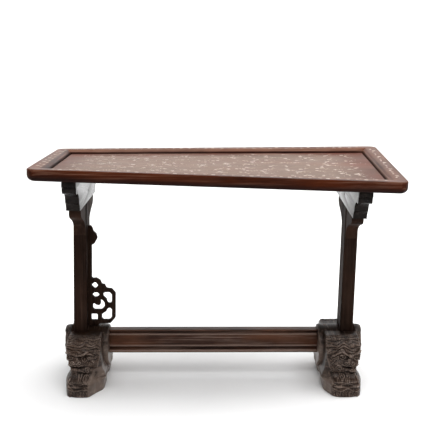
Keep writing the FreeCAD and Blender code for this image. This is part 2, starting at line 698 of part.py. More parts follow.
# Foot: plinth, waisted carved block and drum, with a beast mask at the front and the back
def foot(name):
    body = new_body(name)
    unit = foot_length / 300
    lift = (seat_height - plinth_height) / 92
    reach = foot_length / 2
    wide = plinth_width / 2
    half = block_width / 2
    toe = half - unit * 7
    end = reach - unit * 10

    # height on the carved face, counted up from the plinth
    def rise(amount):
        return plinth_height + lift * amount

    # side view of the block: instep, chin, snout, brow and mane
    crest = new_sketch(body, name + "_crest", "YZ_Plane")
    two_ended(crest, [
        (reach - unit * 14, rise(-10)),
        (reach - unit * 16, rise(2)),
        (reach - unit * 32, rise(8), reach - unit * 37, rise(16)),
        (reach - unit * 31, rise(23), reach - unit * 37, rise(29)),
        (reach - unit * 30, rise(40), reach - unit * 36, rise(50)),
        (reach - unit * 40, rise(62)),
        (reach - unit * 36, rise(70), reach - unit * 46, rise(77)),
        (reach - unit * 53, rise(85), reach - unit * 64, rise(86)),
        (reach - unit * 76, rise(91), reach - unit * 90, rise(92)),
    ])
    pad(body, name + "_block", crest, block_width + unit * 6, both=True)

    # front view of the block: wide at the brow, drawn in at the waist
    front = new_sketch(body, name + "_front", "XZ_Plane")
    for way in (-1, 1):
        outline(front, [
            ((half + unit * 20) * way, rise(-11)),
            ((half + unit * 20) * way, rise(93)),
            ((half - unit * 1) * way, rise(93)),
            ((half + unit * 3) * way, rise(80)),
            ((half - unit * 5) * way, rise(39)),
            ((half - unit * 5) * way, rise(16)),
            (toe * way, rise(0)),
            (toe * way, rise(-11)),
        ])
    pocket(body, name + "_waist", front, foot_length, both=True)

    # plinth with rounded ends
    plan = new_sketch(body, name + "_plan", "XY_Plane")
    taper = unit * 52
    bow_x, bow_y = boat_bow(wide.value, toe.value, end.value, taper.value)
    outline(plan, [
        (toe, -end),
        (bow_x, -bow_y, wide, taper - end),
        (wide, end - taper),
        (bow_x, bow_y, toe, end),
        (-toe, end),
        (-bow_x, bow_y, -wide, end - taper),
        (-wide, taper - end),
        (-bow_x, -bow_y, -toe, -end),
    ])
    pad(body, name + "_plinth", plan, plinth_height)

    # rounded paw at each end
    paws = new_sketch(body, name + "_paws", "XY_Plane")
    for way in (-1, 1):
        outline(paws, [
            (toe + unit * 2, (reach - unit * 30) * way),
            (-toe - unit * 2, (reach - unit * 30) * way),
            (-toe - unit * 2, (reach - unit * 12) * way),
            (-toe + unit * 6, (reach - unit * 2.5) * way, -toe + unit * 16, reach * way),
            (toe - unit * 16, reach * way),
            (toe - unit * 6, (reach - unit * 2.5) * way, toe + unit * 2, (reach - unit * 12) * way),
        ])
    pad(body, name + "_toes", paws, paw_height)

    # drum and mask
    face = new_sketch(body, name + "_face", "YZ_Plane")
    circle(face, 0, drum_height, drum_radius)
    pad(body, name + "_drum", face, drum_width, both=True)
    for way in (-1, 1):
        tag = "%s_%s" % (name, "front" if way < 0 else "back")
        mask(body, tag, way, unit, rise)

    # joints: post housing and mortise, stretcher mortise and peg holes
    seat = new_sketch(body, name + "_seat", "XY_Plane", seat_height)
    rectangle(seat, -foot_shift - post_width / 2 - post_flare, post_width / 2 - foot_shift,
              -post_depth / 2, post_depth / 2)
    pocket(body, name + "_housing", seat, drum_radius, flip=True)
    mortise = new_sketch(body, name + "_mortise", "XY_Plane", seat_height)
    rectangle(mortise, -foot_shift - tenon_thick / 2, tenon_thick / 2 - foot_shift,
              -tenon_depth / 2, tenon_depth / 2)
    pocket(body, name + "_post_hole", mortise, foot_tenon)
    socket = new_sketch(body, name + "_socket", "YZ_Plane", drum_width / 2)
    rectangle(socket, -stretcher_tenon / 2, stretcher_tenon / 2,
              stretcher_low + tenon_shoulder, stretcher_high - tenon_shoulder)
    pocket(body, name + "_stretcher_hole", socket, tenon_length)
    side_hole = new_sketch(body, name + "_side_hole", "YZ_Plane", -drum_width / 2 - peg_proud)
    square(side_hole, 0, drum_height, peg_side)
    pocket(body, name + "_side_peg", side_hole, foot_peg, flip=True)
    top_hole = new_sketch(body, name + "_top_hole", "XY_Plane", drum_top + 1)
    square(top_hole, stretcher_peg_at, 0, peg_side)
    pocket(body, name + "_top_peg", top_hole, stretcher_peg + 1)
    stand(body, -1, foot_offset)
    return body


# A boss of carving with straight facets, lying left to right or standing front to back
def boss(body, name, radius, length, spot, axis, angle):
    feature = body.newObject("PartDesign::AdditivePrism", name)
    feature.Polygon = 8
    feature.Circumradius = radius.value
    feature.Height = length.value
    bind(feature, "Circumradius", radius)
    bind(feature, "Height", length)
    place = [as_size(amount) for amount in spot]
    centre = V(*[amount.value for amount in place])
    feature.Placement = FreeCAD.Placement(centre, FreeCAD.Rotation(axis, angle))
    for letter, amount in zip("xyz", place):
        bind(feature, "Placement.Base." + letter, amount)
    doc.recompute()


# Beast mask: snout, bulging eyes and, on the outer side, a cheek scroll
def mask(body, name, way, unit, rise):
    front = (foot_length / 2 - unit * 38) * way
    half = block_width / 2
    boss(body, name + "_snout", unit * 8, unit * 26, (unit * -13, front, rise(44)), V(0, 1, 0), 90)
    for across in (-1, 1):
        eye = (unit * 20 * across, front - unit * 8 * way, rise(57))
        boss(body, "%s_eye%d" % (name, across + 1), unit * 8.5, unit * 13, eye, V(1, 0, 0), -90 * way)
    cheek = (-half - unit * 6, front - unit * 12 * way, rise(52))
    boss(body, name + "_cheek", unit * 12, unit * 12, cheek, V(0, 1, 0), 90)


# Stretcher: a moulded rail tenoned into both drums
def stretcher():
    body = new_body("stretcher")
    unit = stretcher_height / 60
    deep = stretcher_thick / 2
    low = stretcher_low
    high = stretcher_high
    profile = new_sketch(body, "stretcher_profile", "YZ_Plane")
    rise = [
        (deep - unit * 3, low),
        (deep, low + unit * 3.5, deep - unit * 1.5, low + unit * 8),
        (deep - unit * 4.5, low + unit * 9),
        (deep - unit * 4.5, low + unit * 15),
        (deep - unit * 1.5, low + unit * 16.5),
        (deep - unit * 0.2, low + unit * 18, deep - unit * 1.5, low + unit * 19.5),
        (deep - unit * 1.5, high - unit * 13.5),
        (deep - unit * 0.2, high - unit * 12, deep - unit * 1.5, high - unit * 10.5),
        (deep - unit * 4.5, high - unit * 9),
        (deep - unit * 4.5, high - unit * 5),
        (deep - unit * 1, high - unit * 4),
        (deep, high - unit * 1.6, deep - unit * 2.4, high),
    ]
    two_ended(profile, rise)
    half_span = foot_offset - drum_width / 2
    pad(body, "stretcher_rail", profile, half_span * 2, both=True)
    ends = new_sketch(body, "stretcher_ends", "XZ_Plane")
    rectangle(ends, -half_span - tenon_length, half_span + tenon_length,
              low + tenon_shoulder, high - tenon_shoulder)
    pad(body, "stretcher_tenons", ends, stretcher_tenon, both=True)
    holes = new_sketch(body, "stretcher_holes", "XY_Plane", low)
    for way in (-1, 1):
        square(holes, (foot_offset - stretcher_peg_at) * way, 0, peg_side)
    pocket(body, "stretcher_peg_holes", holes, stretcher_height, flip=True)
    return body


# Spandrel: a stem with a lobed head and an openwork cloud scroll, standing on the left foot
def spandrel():
    body = new_body("left_spandrel")
    unit = cloud_reach / 68

    # spots on the cloud, counted from the drum, and on the head, counted down from the top
    def cloud(*spots):
        return [(unit * across, drum_top + unit * up) for across, up in spots]

    def head(*spots):
        return [(unit * across, spandrel_top - unit * down) for across, down in spots]

    front = new_sketch(body, "spandrel_front", "XZ_Plane")
    rounded(front, cloud((0, 0), (24, 0), (30, 6), (56, 6), (68, 20), (68, 82), (58, 93), (45, 94), (41, 104),
                         (34, 104), (30, 114), (20, 120), (9, 118))
            + head((9, 49), (16, 46), (23, 33), (20, 22), (13, 16), (9, 4), (0, 0)), unit * 6)
    pad(body, "spandrel_board", front, spandrel_thick, both=True)
    holes = new_sketch(body, "spandrel_holes", "XZ_Plane")
    ear = cloud((9, 94), (24, 94), (25, 108), (9, 111))
    upper = cloud((11, 70), (27, 73), (29, 84), (11, 84))
    crescent = cloud((38, 84), (37, 75), (46, 66), (48, 56), (59, 56), (59, 78), (54, 85))
    hook = cloud((12, 40), (34, 40), (41, 48), (41, 58), (35, 66),
                 (30, 66), (32, 56), (28, 51), (20, 53), (12, 60))
    lower = cloud((8, 13), (24, 13), (24, 30), (8, 30))
    bean = cloud((34, 14), (54, 14), (59, 22), (59, 45), (50, 45), (45, 36), (34, 29))
    for spots, radius in ((ear, 6), (upper, 5), (crescent, 4), (hook, 3.5), (lower, 2), (bean, 4)):
        rounded(holes, spots, unit * radius, straight=True)
    pocket(body, "spandrel_openings", holes, spandrel_thick + 2, both=True)
    keys = new_sketch(body, "spandrel_keys", "XZ_Plane")
    for level in spandrel_keys:
        rectangle(keys, -tongue_reach, unit * 3, level, level + tongue_tall / 2)
    pad(body, "spandrel_tongues", keys, spandrel_thick / 2, both=True)
    inner = post_offset - post_width / 2
    body.Placement = FreeCAD.Placement(V(-inner.value, 0, 0), FreeCAD.Rotation())
    bind(body, "Placement.Base.x", -inner)
    return body


# Pegs: square pins grouped by the joint they lock, each from its lowest corner
def pegs(name, sides, corners):
    items = []
    for index, corner in enumerate(corners):
        peg = doc.addObject("Part::Box", "%s_%d" % (name, index + 1))
        for measure, amount in zip(("Length", "Width", "Height"), sides):
            bind(peg, measure, amount)
        for letter, amount in zip("xyz", corner):
            bind(peg, "Placement.Base." + letter, amount)
        items.append(peg)
    group = doc.addObject("Part::Compound", name)
    group.Links = items
    group.Label = name
    doc.recompute()
    return group


# Shell inlay let into its seats
def inlay(name, level, lines):
    body = new_body(name)
    body.AllowCompound = True
    shapes = new_sketch(body, name + "_shapes", "XY_Plane", level - shell_thick)
    shapes.addGeometry(lines, False)
    pad(body, name + "_chips", shapes, shell_thick)
    return body


front_rail = long_rail("front_rail")
left_rail = short_rail("left_rail")
left_bearer = bearer("left_bearer")
left_front = bracket("left_front_bracket", -1)
left_back = bracket("left_back_bracket", 1)
left_foot = foot("left_foot")
made = [
    front_rail,
    left_rail,
    twin(front_rail, "back_rail", V(0, 1, 0)),
    twin(left_rail, "right_rail", V(1, 0, 0)),
    top_panel(),
    panel_batten(),
    inlay("panel_inlay", panel_top, panel_chips()),
    inlay("rim_inlay", table_height, rim_chips()),
    left_bearer,
    left_front,
    left_back,
    left_foot,
    twin(left_bearer, "right_bearer", V(1, 0, 0)),
    twin(left_front, "right_front_bracket", V(1, 0, 0)),
    twin(left_back, "right_back_bracket", V(1, 0, 0)),
    twin(left_foot, "right_foot", V(1, 0, 0)),
    post("left_post", -1, True),
    post("right_post", 1, False),
]
made.append(stretcher())
made.append(spandrel())
half_peg = peg_side / 2
bearer_spots = []
foot_spots = []
stretcher_spots = []
for way in (-1, 1):
    bearer_spots.append((post_offset * way - post_width / 2, -half_peg, bearer_low + peg_rise - half_peg))
    outer = (foot_offset + drum_width / 2 + peg_proud) * way
    foot_spots.append((outer if way < 0 else outer - foot_peg, -half_peg, drum_height - half_peg))
    middle = (foot_offset - stretcher_peg_at) * way
    stretcher_spots.append((middle - half_peg, -half_peg, drum_top - stretcher_peg))
made.append(pegs("bearer_pegs", (post_width, peg_side, peg_side), bearer_spots))
made.append(pegs("foot_pegs", (foot_peg, peg_side, peg_side), foot_spots))
made.append(pegs("stretcher_pegs", (peg_side, peg_side, stretcher_peg), stretcher_spots))

# Check every object, then write the parts
doc.recompute()
for item in doc.Objects:
    if "Invalid" in item.State or "Error" in item.State:
        raise ValueError("%s is not valid" % item.Name)
os.makedirs("parts", exist_ok=True)
for item in made:
    if item.Shape.isNull() or not item.Shape.isValid():
        raise ValueError("%s has no valid shape" % item.Name)
    item.Shape.exportStep("parts/%s.step" % item.Label)
    print(item.Label, len(item.Shape.Solids), round(item.Shape.Volume / 1000, 1))
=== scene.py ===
import math
import random

import bmesh
import bpy
import numpy as np
from mathutils import Matrix, Vector, noise


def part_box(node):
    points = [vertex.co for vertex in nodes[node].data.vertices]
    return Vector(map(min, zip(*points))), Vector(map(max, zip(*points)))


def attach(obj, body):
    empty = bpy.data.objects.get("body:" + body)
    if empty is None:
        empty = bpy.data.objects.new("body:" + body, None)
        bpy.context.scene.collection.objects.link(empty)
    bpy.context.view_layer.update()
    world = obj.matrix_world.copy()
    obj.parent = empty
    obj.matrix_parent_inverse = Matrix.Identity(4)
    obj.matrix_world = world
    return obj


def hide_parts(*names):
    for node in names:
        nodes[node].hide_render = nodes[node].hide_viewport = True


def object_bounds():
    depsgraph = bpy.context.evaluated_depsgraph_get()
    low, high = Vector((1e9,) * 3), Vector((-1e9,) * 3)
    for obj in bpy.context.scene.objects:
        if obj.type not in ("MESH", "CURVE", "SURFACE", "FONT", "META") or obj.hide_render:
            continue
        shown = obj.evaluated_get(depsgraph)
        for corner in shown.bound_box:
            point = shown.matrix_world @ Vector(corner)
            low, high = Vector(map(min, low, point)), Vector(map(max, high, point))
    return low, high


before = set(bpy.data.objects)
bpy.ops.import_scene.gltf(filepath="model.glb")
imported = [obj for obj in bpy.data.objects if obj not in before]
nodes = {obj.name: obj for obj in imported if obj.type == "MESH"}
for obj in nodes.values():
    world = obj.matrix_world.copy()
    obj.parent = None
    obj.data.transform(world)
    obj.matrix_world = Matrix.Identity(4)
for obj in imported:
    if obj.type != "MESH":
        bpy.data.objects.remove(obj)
cad_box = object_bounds()
rng = random.Random(11)

MM = 0.001

# Edges that turn further are sharp, edges that turn less are flat, and points that lie closer are one
SHARP = math.radians(34)
FLAT = math.radians(0.6)
MERGE = 0.02 * MM

# Places read from the frame
panel_low, panel_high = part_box("top_panel")
front_low, front_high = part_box("front_rail")
left_low, left_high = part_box("left_rail")
whole_high = cad_box[1]
HALF_W = whole_high[0]
HALF_D = whole_high[1]
TOP = front_high.z
RAIL_LOW = front_low.z
RAIL_WIDTH = left_high.x - left_low.x
PANEL_TOP = panel_high.z
PANEL_LOW = panel_low.z
FOOT_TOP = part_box("left_foot")[1].z
BEARER_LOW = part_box("left_bearer")[0].z
POST_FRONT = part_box("left_post")[1].y

# Sizes of the top that the frame does not give
CORNER_ROUND = 22 * MM
EDGE_ROUND = 14 * MM
EDGE_HANG = 3.5 * MM
LIP_ROUND = 1.6 * MM
SCRATCH_INSET = 4 * MM
SCRATCH_WIDTH = 1.8 * MM
SCRATCH_DEEP = 0.7 * MM
SCRATCH_PROFILE = ((-0.5, 0), (-0.25, 0.8), (0, 1), (0.25, 0.8), (0.5, 0))
OVOLO_WIDE = 13 * MM
OVOLO_TURN = 60
OVOLO_DEEP = TOP - PANEL_TOP - 1 * MM
RABBET_WIDE = 3 * MM
RABBET_DEEP = 2 * MM
PANEL_GAP = 0.3 * MM

# Into how many steps its curves and lengths are cut
EDGE_STEPS = 8
LIP_STEPS = 3
OVOLO_STEPS = 7
ARC_STEPS = 6
RUN_STEPS = 40
PANEL_ACROSS = 96
PANEL_DEEP = 52

# The old table has racked: above the feet it leans to the right, and its top hangs there and is wound
LEAN = math.tan(math.radians(1.35))
HANG = 6.2 * MM
WIND = 9.2 * MM


def lift_at(x, y):
    return x / HALF_W * (WIND * y / HALF_D - HANG)


# Where a point of the true table lies on the racked one
def racked(co):
    share = min(max((co[2] - FOOT_TOP) / (BEARER_LOW - FOOT_TOP), 0), 1)
    shift = LEAN * max(co[2] - FOOT_TOP, 0)
    return Vector((co[0] + shift, co[1], co[2] + lift_at(co[0], co[1]) * share))


def rack(bm):
    for vertex in bm.verts:
        vertex.co = racked(vertex.co)


# How high points of the racked top would lie on the true one
def true_height(spots):
    return spots[:, 2] - lift_at(spots[:, 0], spots[:, 1])


def smoothstep(low, high, value):
    share = np.clip((value - low) / (high - low), 0, 1)
    return share * share * (3 - 2 * share)


def grey(value):
    return (value, value, value)


BLACK = grey(0)
WHITE = grey(1)


# Build a node material; fill() gets the tree and its principled shader
def material(name, fill):
    made = bpy.data.materials.new(name)
    made.use_nodes = True
    tree = made.node_tree
    fill(tree, tree.nodes["Principled BSDF"])
    return made


def add(tree, kind, **sets):
    node = tree.nodes.new(kind)
    for key, value in sets.items():
        if key in node.inputs:
            node.inputs[key].default_value = value
        else:
            setattr(node, key, value)
    return node


def ramp(tree, source, stops):
    node = tree.nodes.new("ShaderNodeValToRGB")
    while len(node.color_ramp.elements) < len(stops):
        node.color_ramp.elements.new(0.5)
    for element, (place, colour) in zip(node.color_ramp.elements, stops):
        element.position = place
        element.color = (*colour, 1)
    tree.links.new(source, node.inputs["Fac"])
    return node.outputs["Color"]


# Link another node's output to a socket, or set the socket to a colour or a number
def feed(tree, socket, value):
    if isinstance(value, bpy.types.NodeSocket):
        tree.links.new(value, socket)
    elif isinstance(value, tuple):
        socket.default_value = (*value, 1)
    else:
        socket.default_value = value


# The mix node's colour sockets are its seventh and eighth, and its colour output is the third
def blend(tree, how, factor, one, two):
    node = add(tree, "ShaderNodeMix", data_type="RGBA", blend_type=how)
    for place, value in ((0, factor), (6, one), (7, two)):
        feed(tree, node.inputs[place], value)
    return node.outputs[2]


def maths(tree, how, one, two):
    node = add(tree, "ShaderNodeMath", operation=how)
    for socket, value in zip(node.inputs, (one, two)):
        feed(tree, socket, value)
    return node.outputs[0]


def spread(tree, source, low, high):
    node = tree.nodes.new("ShaderNodeMapRange")
    tree.links.new(source, node.inputs["Value"])
    node.inputs["To Min"].default_value = low
    node.inputs["To Max"].default_value = high
    return node.outputs["Result"]


def grain_vector(tree, scale):
    where = add(tree, "ShaderNodeAttribute", attribute_name="grain")
    mapping = tree.nodes.new("ShaderNodeMapping")
    mapping.inputs["Scale"].default_value = scale
    tree.links.new(where.outputs["Vector"], mapping.inputs["Vector"])
    return mapping.outputs["Vector"]


def cloud(tree, vector, scale, detail, rough):
    node = add(tree, "ShaderNodeTexNoise", Scale=scale, Detail=detail, Roughness=rough)
    tree.links.new(vector, node.inputs["Vector"])
    return node.outputs["Fac"]


# Noise that is drawn out along the grain
def grain_cloud(tree, scale, detail, rough):
    return cloud(tree, grain_vector(tree, scale), 1.0, detail, rough)


def fac(tree, name):
    return add(tree, "ShaderNodeAttribute", attribute_name=name).outputs["Fac"]


# What the broad bands and the pores of the wood are darkened by, and the colour of the painted shade in its
# creases
BAND_SHADE = (0.5, 0.46, 0.44)
PORE_SHADE = (0.45, 0.40, 0.38)
HOLLOW_SHADE = (0.22, 0.18, 0.16)


# Polished old hardwood: streaks and broad bands along the grain, blotches of a stain and pores,
# and over them patches paled by use, edges paled by use and painted highlight, and painted shade in creases
def wood(name, dark, mid, pale, stain, roughness, lightening, specular):
    def fill(tree, shader):
        streak = grain_cloud(tree, (5, 170, 170), 8.0, 0.65)
        pores = grain_cloud(tree, (22, 900, 900), 3.0, 0.5)
        patch = grain_cloud(tree, (9, 14, 14), 4.0, 0.6)
        broad = grain_cloud(tree, (3, 46, 46), 5.0, 0.6)
        blotch = grain_cloud(tree, (4, 13, 13), 4.0, 0.55)
        tone = ramp(tree, streak, ((0.30, dark), (0.52, mid), (0.74, pale)))
        bands = ramp(tree, broad, ((0.36, BAND_SHADE), (0.6, WHITE)))
        tone = blend(tree, "MULTIPLY", 1.0, tone, bands)
        stained = ramp(tree, blotch, ((0.46, BLACK), (0.66, grey(0.8))))
        tone = blend(tree, "MIX", stained, tone, stain)
        tone = blend(tree, "MULTIPLY", spread(tree, pores, 0.0, 0.45), tone, PORE_SHADE)
        rub = ramp(tree, patch, ((0.48, BLACK), (0.72, WHITE)))
        tone = blend(tree, "MIX", maths(tree, "MULTIPLY", rub, lightening), tone, pale)
        # edges and places paled by use, partly painted highlight and painted reflection
        tone = blend(tree, "MIX", fac(tree, "wear_and_sheen"), tone, pale)
        # painted shade darkens creases, recesses and grooves
        tone = blend(tree, "MULTIPLY", fac(tree, "crease_shade"), tone, HOLLOW_SHADE)
        tree.links.new(tone, shader.inputs["Base Color"])
        rough = spread(tree, patch, roughness - 0.06, roughness + 0.12)
        rough = maths(tree, "ADD", rough, maths(tree, "MULTIPLY", fac(tree, "crease_shade"), 0.25))
        tree.links.new(rough, shader.inputs["Roughness"])
        shader.inputs["Specular IOR Level"].default_value = specular
        bump = add(tree, "ShaderNodeBump", Strength=0.22, Distance=0.0008)
        height = maths(tree, "ADD", streak, maths(tree, "MULTIPLY", pores, 0.5))
        tree.links.new(height, bump.inputs["Height"])
        tree.links.new(bump.outputs["Normal"], shader.inputs["Normal"])
    return material(name, fill)


rim_wood = wood(
    "rim_wood", dark=(0.014, 0.0022, 0.0005), mid=(0.054, 0.0098, 0.0018), pale=(0.24, 0.128, 0.088),
    stain=(0.086, 0.0165, 0.0026), roughness=0.34, lightening=0.04, specular=0.055)
panel_wood = wood(
    "panel_wood", dark=(0.050, 0.0170, 0.0105), mid=(0.112, 0.0440, 0.0285), pale=(0.195, 0.140, 0.107),
    stain=(0.150, 0.0480, 0.0290), roughness=0.42, lightening=0.42, specular=0.07)
post_wood = wood(
    "post_wood", dark=(0.010, 0.0048, 0.0030), mid=(0.024, 0.0128, 0.0088), pale=(0.058, 0.036, 0.027),
    stain=(0.034, 0.0150, 0.0090), roughness=0.60, lightening=0.25, specular=0.03)
bearer_wood = wood(
    "bearer_wood", dark=(0.004, 0.0026, 0.0020), mid=(0.008, 0.0054, 0.0042), pale=(0.026, 0.019, 0.015),
    stain=(0.006, 0.0040, 0.0030), roughness=0.16, lightening=0.25, specular=0.08)
stretcher_wood = wood(
    "stretcher_wood", dark=(0.018, 0.0060, 0.0034), mid=(0.046, 0.0175, 0.0100), pale=(0.270, 0.190, 0.155),
    stain=(0.135, 0.0520, 0.0250), roughness=0.38, lightening=0.10, specular=0.07)
foot_wood = wood(
    "foot_wood", dark=(0.009, 0.0040, 0.0022), mid=(0.026, 0.0130, 0.0076), pale=(0.30, 0.228, 0.188),
    stain=(0.046, 0.0220, 0.0115), roughness=0.30, lightening=0.1, specular=0.15)

# Tints of the shell from the dullest chip to the brightest, and the shade of its fine bands
SHELL_TINTS = ((0.0, (0.18, 0.125, 0.095)), (0.35, (0.40, 0.33, 0.25)),
               (0.6, (0.35, 0.25, 0.21)), (1.0, (0.66, 0.60, 0.50)))
SHELL_SHADE = (0.62, 0.55, 0.50)


def shell_fill(tree, shader):
    tone = ramp(tree, fac(tree, "tint"), SHELL_TINTS)
    where = add(tree, "ShaderNodeTexCoord")
    bands = cloud(tree, where.outputs["Object"], 160.0, 4.0, 0.6)
    shade = ramp(tree, bands, ((0.3, SHELL_SHADE), (0.7, WHITE)))
    tone = blend(tree, "MULTIPLY", 0.6, tone, shade)
    tree.links.new(tone, shader.inputs["Base Color"])
    tree.links.new(spread(tree, bands, 0.22, 0.42), shader.inputs["Roughness"])


shell = material("shell", shell_fill)


# Places and normals of a mesh's points
def points_of(mesh):
    spots = np.empty(len(mesh.vertices) * 3)
    mesh.vertices.foreach_get("co", spots)
    normals = np.empty(len(mesh.vertices) * 3)
    mesh.vertex_normals.foreach_get("vector", normals)
    return spots.reshape(-1, 3), normals.reshape(-1, 3)


def ends_of(mesh):
    ends = np.empty(len(mesh.edges) * 2, dtype=int)
    mesh.edges.foreach_get("vertices", ends)
    return ends[0::2], ends[1::2]


# The axes along and across the grain, how much of a shift goes across, and how fine the patches of paled
# edges are
GRAIN_ORDER = {"x": [0, 1, 2], "y": [1, 0, 2], "z": [2, 0, 1]}
SHIFT_ACROSS = 0.37
RUB_SCALE = 60


# Keep, for every point, where it lies along and across the grain; shift gives each piece wood of its own
def set_grain(mesh, along, shift):
    layer = mesh.attributes.new("grain", "FLOAT_VECTOR", "POINT")
    spots = points_of(mesh)[0][:, GRAIN_ORDER[along]] + (shift, SHIFT_ACROSS * shift, 0)
    layer.data.foreach_set("vector", spots.ravel())


# Edges paled by use and painted highlight, and creases darkened with painted shade: how far each point
# stands proud of its neighbours, or below them;
# a piece's two callbacks add pale places of its own, from use and painted reflection, and dark places,
# mostly painted shade
def set_wear_and_shade(mesh, wear_and_sheen, crease_shade, rub_and_sheen, shade_and_grime):
    spots, normals = points_of(mesh)
    one, two = ends_of(mesh)
    run = spots[two] - spots[one]
    run /= np.maximum(np.linalg.norm(run, axis=1, keepdims=True), 1e-9)
    proud = np.zeros(len(spots))
    total = np.zeros(len(spots))
    for here, sign in ((one, -1), (two, 1)):
        np.add.at(proud, here, sign * (normals[here] * run).sum(axis=1))
        np.add.at(total, here, 1)
    proud /= np.maximum(total, 1)
    rub = np.array([0.5 + 0.5 * noise.noise(Vector(spot) * RUB_SCALE) for spot in spots])
    # convex edges pale: use, and a painted highlight on ridges
    lightening = np.clip(proud * wear_and_sheen, 0, 1) * rub
    # concave places dark: painted shade
    dark = np.clip(-proud * crease_shade, 0, 1)
    if rub_and_sheen:
        lightening = np.maximum(lightening, rub_and_sheen(spots) * (0.4 + 0.6 * rub))
    if shade_and_grime:
        dark = np.maximum(dark, shade_and_grime(spots))
    for name, values in (("wear_and_sheen", lightening), ("crease_shade", dark)):
        layer = mesh.attributes.new(name, "FLOAT", "POINT")
        layer.data.foreach_set("value", values)


# Make a piece of a mesh or a bmesh: grain, edges paled by use and painted highlight, painted shade,
# material, and the CAD node that it stands for
def finish_piece(shape, node, name, skin, along, shift, wear_and_sheen=0.6, crease_shade=0.0, smooth=True,
                 rub_and_sheen=None, shade_and_grime=None):
    mesh = shape
    if isinstance(shape, bmesh.types.BMesh):
        mesh = bpy.data.meshes.new(name)
        bmesh.ops.recalc_face_normals(shape, faces=shape.faces)
        shape.to_mesh(mesh)
        shape.free()
    set_grain(mesh, along, shift)
    set_wear_and_shade(mesh, wear_and_sheen, crease_shade, rub_and_sheen, shade_and_grime)
    mesh.materials.clear()
    mesh.materials.append(skin)
    for polygon in mesh.polygons:
        polygon.use_smooth = smooth
    piece = bpy.data.objects.new(name, mesh)
    bpy.context.scene.collection.objects.link(piece)
    if smooth:
        mesh.set_sharp_from_angle(angle=SHARP)
    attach(piece, "root")
    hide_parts(node)


def round_edges(bm, width):
    sharp = [edge for edge in bm.edges if len(edge.link_faces) == 2 and edge.calc_face_angle() > SHARP]
    bmesh.ops.bevel(bm, geom=sharp, offset=width, offset_type="OFFSET", segments=2, profile=0.6,
                    affect="EDGES", clamp_overlap=True)


# A softened copy of a CAD node: facets merged, sharp edges rounded, faces parted at the heights in cuts
def softened(node, name, skin, along, shift, width=0.9 * MM, cuts=(), rub_and_sheen=None, shade_and_grime=None):
    bm = bmesh.new()
    bm.from_mesh(nodes[node].data)
    bmesh.ops.remove_doubles(bm, verts=bm.verts, dist=MERGE)
    bmesh.ops.dissolve_limit(bm, angle_limit=FLAT, verts=bm.verts, edges=bm.edges)
    round_edges(bm, width)
    for cut in cuts:
        everything = [*bm.verts, *bm.edges, *bm.faces]
        bmesh.ops.bisect_plane(bm, geom=everything, plane_co=(0, 0, cut), plane_no=(0, 0, 1))
    rack(bm)
    finish_piece(bm, node, name, skin, along, shift, rub_and_sheen=rub_and_sheen, shade_and_grime=shade_and_grime)


# Points of a smooth line through the given ones
def smooth_line(points, steps):
    line = []
    padded = [points[0], *points, points[-1]]
    for before, one, two, after in zip(padded, padded[1:], padded[2:], padded[3:]):
        before, one, two, after = (Vector(point) for point in (before, one, two, after))
        bend = 2 * before - 5 * one + 4 * two - after
        twist = 3 * one - before - 3 * two + after
        for step in range(steps):
            t = step / steps
            line.append(0.5 * (2 * one + (two - before) * t + bend * t ** 2 + twist * t ** 3))
    return line + [Vector(points[-1])]


# Head bracket seen from the side, in mm out from the post and down from the bearer:
# an edge inside the post, and a full lobe that sweeps back into it
BRACKET_ROOT = ((-6, 78), (-6, 0))
BRACKET_SWEEP = ((88, 0), (91, 8), (89, 16), (80, 23), (62, 29), (40, 36), (20, 46), (8, 60), (3, 78))


def bracket(node, way, shift):
    low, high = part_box(node)
    outline = [Vector(point) for point in BRACKET_ROOT] + smooth_line(BRACKET_SWEEP, 5)
    bm = bmesh.new()
    sides = []
    for x in (low.x, high.x):
        side = []
        for out, down in outline:
            side.append(bm.verts.new((x, way * (POST_FRONT + out * MM), BEARER_LOW - down * MM)))
        bm.faces.new(side)
        sides.append(side)
    for index in range(len(outline)):
        bm.faces.new((sides[0][index - 1], sides[0][index], sides[1][index], sides[1][index - 1]))
    round_edges(bm, 1.2 * MM)
    rack(bm)
    finish_piece(bm, node, node + "_board", post_wood, "z", shift)


stretcher_low, stretcher_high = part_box("stretcher")
STRETCHER_TALL = stretcher_high.z - stretcher_low.z

# Painted highlights on the beads and painted shade in the grooves of the stretcher: shares of its height
# from the top, and strength;
# the cuts give the beads and grooves points of their own
BEAD_HIGHLIGHTS = ((-0.01, 0.07, 0.12), (0.17, 0.235, 0.9), (0.665, 0.73, 0.9), (0.875, 0.955, 0.9))
GROOVE_SHADE = ((0.08, 0.16, 0.5), (0.745, 0.86, 0.6), (0.97, 1.01, 0.75))
CUTS = [stretcher_high.z - STRETCHER_TALL * share for share in (0.25, 0.28, 0.62, 0.65, 0.9, 0.96)]

# How far the edges of the stretcher, the spandrel and the pegs are rounded
STRETCHER_EDGE = 0.6 * MM
SPANDREL_EDGE = 1.8 * MM
PEG_EDGE = 0.4 * MM


def banded(bands):
    def field(spots):
        share = (stretcher_high.z - spots[:, 2]) / STRETCHER_TALL
        return sum(strength * ((share > low) & (share < high)) for low, high, strength in bands)
    return field


